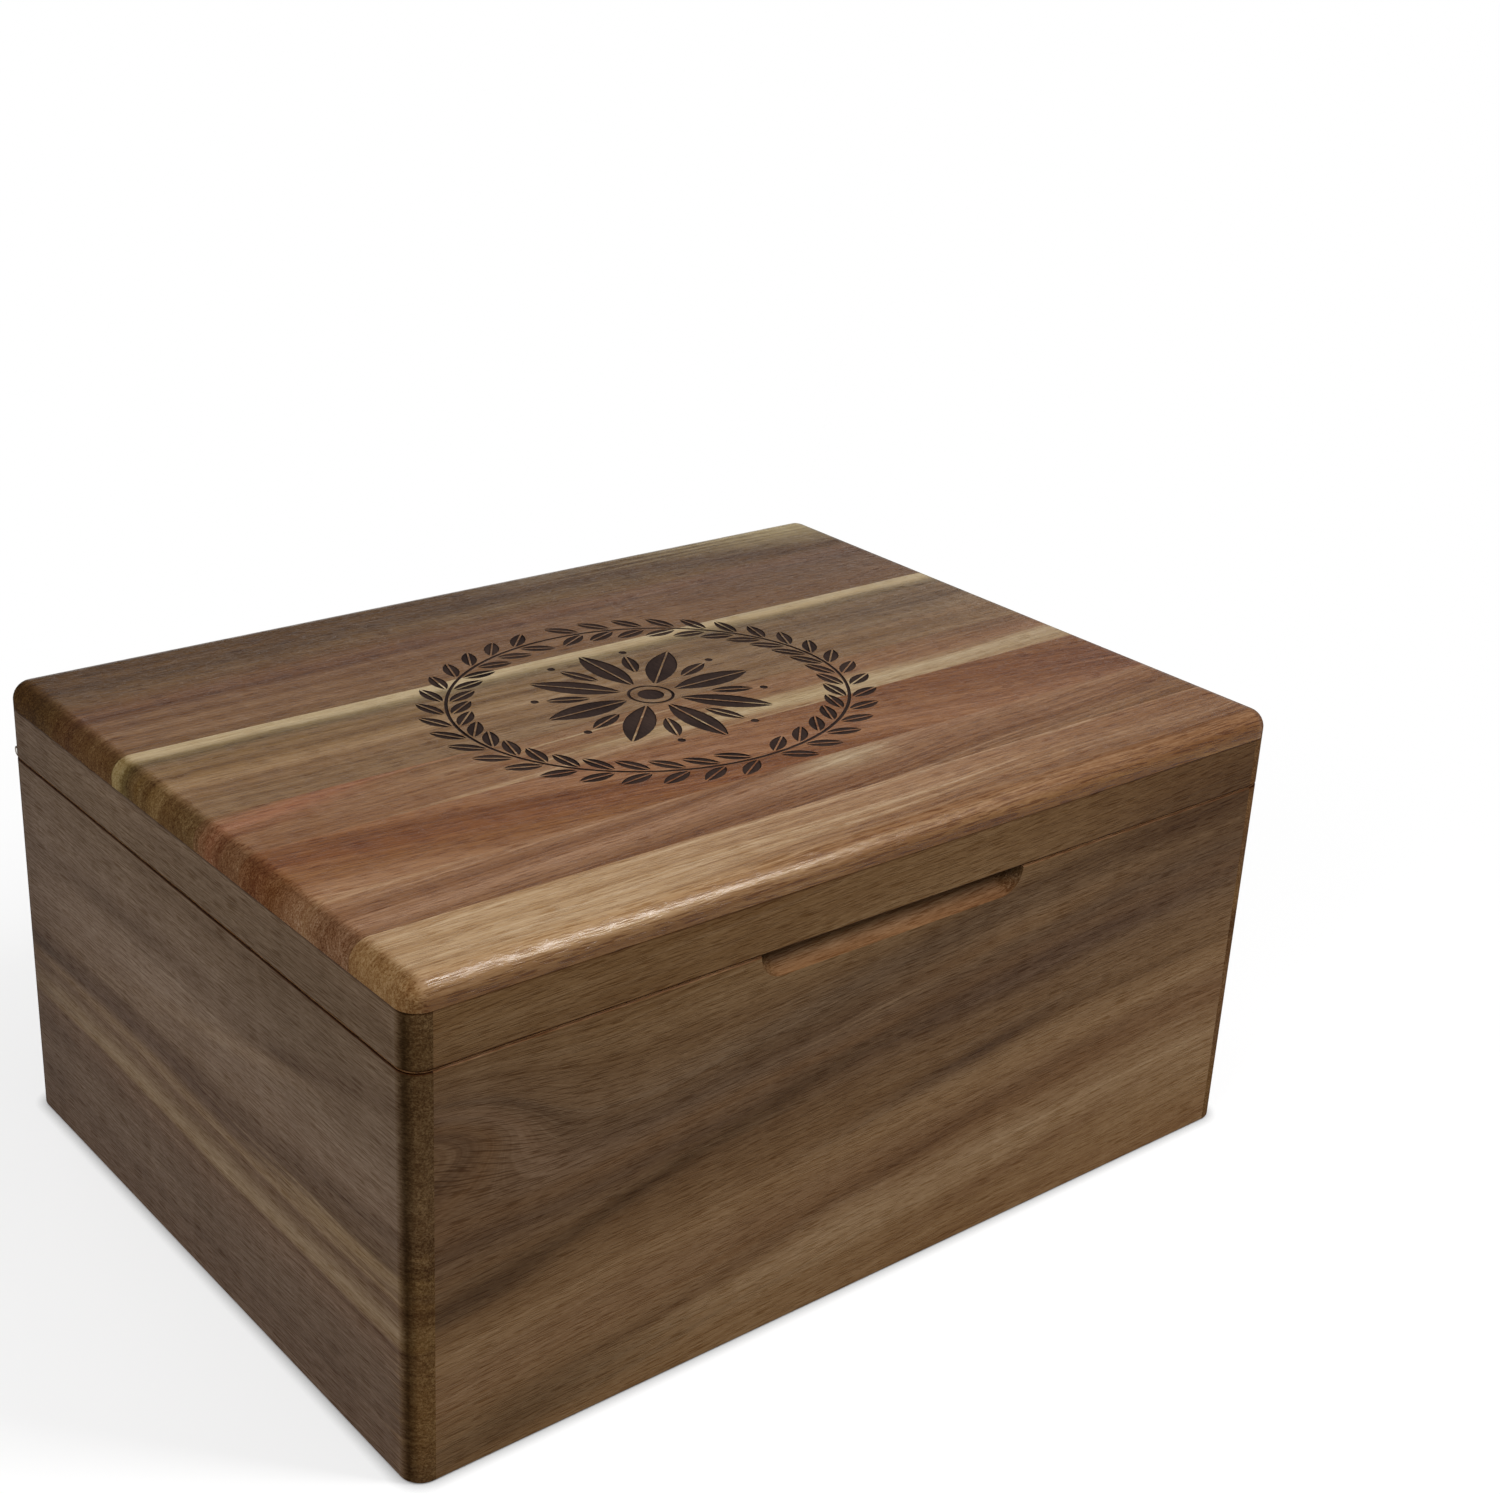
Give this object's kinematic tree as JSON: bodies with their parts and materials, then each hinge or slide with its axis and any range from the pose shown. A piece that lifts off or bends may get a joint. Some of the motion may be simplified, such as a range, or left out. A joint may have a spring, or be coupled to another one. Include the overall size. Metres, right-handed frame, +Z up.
{
  "type": "keepsake box",
  "caption": "Hinged-lid wooden keepsake box with rabbeted corners, a staved lid panel, corner leaf hinges, magnetic closure and a finger notch under the lid.",
  "frame": {"origin": "middle of the outline, hinge barrels included, on the plane that the box stands on", "axes": "+X to the right as seen from the front, front faces -Y, +Z up"},
  "size_m": [0.32, 0.2366, 0.15],
  "materials": {
    "case_wood": "satin lacquered acacia",
    "rail_wood": "satin lacquered acacia",
    "lid_wood": "satin lacquered acacia",
    "floor_wood": "satin lacquered acacia",
    "hinge_bronze": "dark antique bronze plating",
    "screw_steel": "dark antique bronze plated steel",
    "pin_steel": "bright steel",
    "magnet_nickel": "nickel plated"
  },
  "bodies": {
    "case": {"case_back_board": "case_wood", "case_front_board": "case_wood", "case_left_board": "case_wood", "case_magnet_left": "magnet_nickel", "case_magnet_right": "magnet_nickel", "case_right_board": "case_wood", "floor_stave_1": "floor_wood", "floor_stave_2": "floor_wood", "floor_stave_3": "floor_wood", "floor_stave_4": "floor_wood", "hinge_case_leaf_left": "hinge_bronze", "hinge_case_leaf_right": "hinge_bronze", "hinge_case_screws_left": "screw_steel", "hinge_case_screws_right": "screw_steel", "hinge_pin_left": "pin_steel", "hinge_pin_right": "pin_steel"},
    "lid": {"hinge_lid_leaf_left": "hinge_bronze", "hinge_lid_leaf_right": "hinge_bronze", "hinge_lid_screws_left": "screw_steel", "hinge_lid_screws_right": "screw_steel", "lid_back_rail": "rail_wood", "lid_front_rail": "rail_wood", "lid_hinge_infill_left": "rail_wood", "lid_hinge_infill_right": "rail_wood", "lid_left_rail": "rail_wood", "lid_magnet_left": "magnet_nickel", "lid_magnet_right": "magnet_nickel", "lid_right_rail": "rail_wood", "lid_stave_1": "lid_wood", "lid_stave_2": "lid_wood", "lid_stave_3": "lid_wood", "lid_stave_4": "lid_wood", "lid_stave_5": "lid_wood", "lid_stave_6": "lid_wood", "lid_stave_7": "lid_wood"}
  },
  "joints": [
    {"name": "lid_hinge", "type": "hinge", "parent": "case", "child": "lid", "pos_m": [0, 0.1167, 0.125], "axis": [-1, 0, 0], "range_deg": [0, 95]}
  ]
}
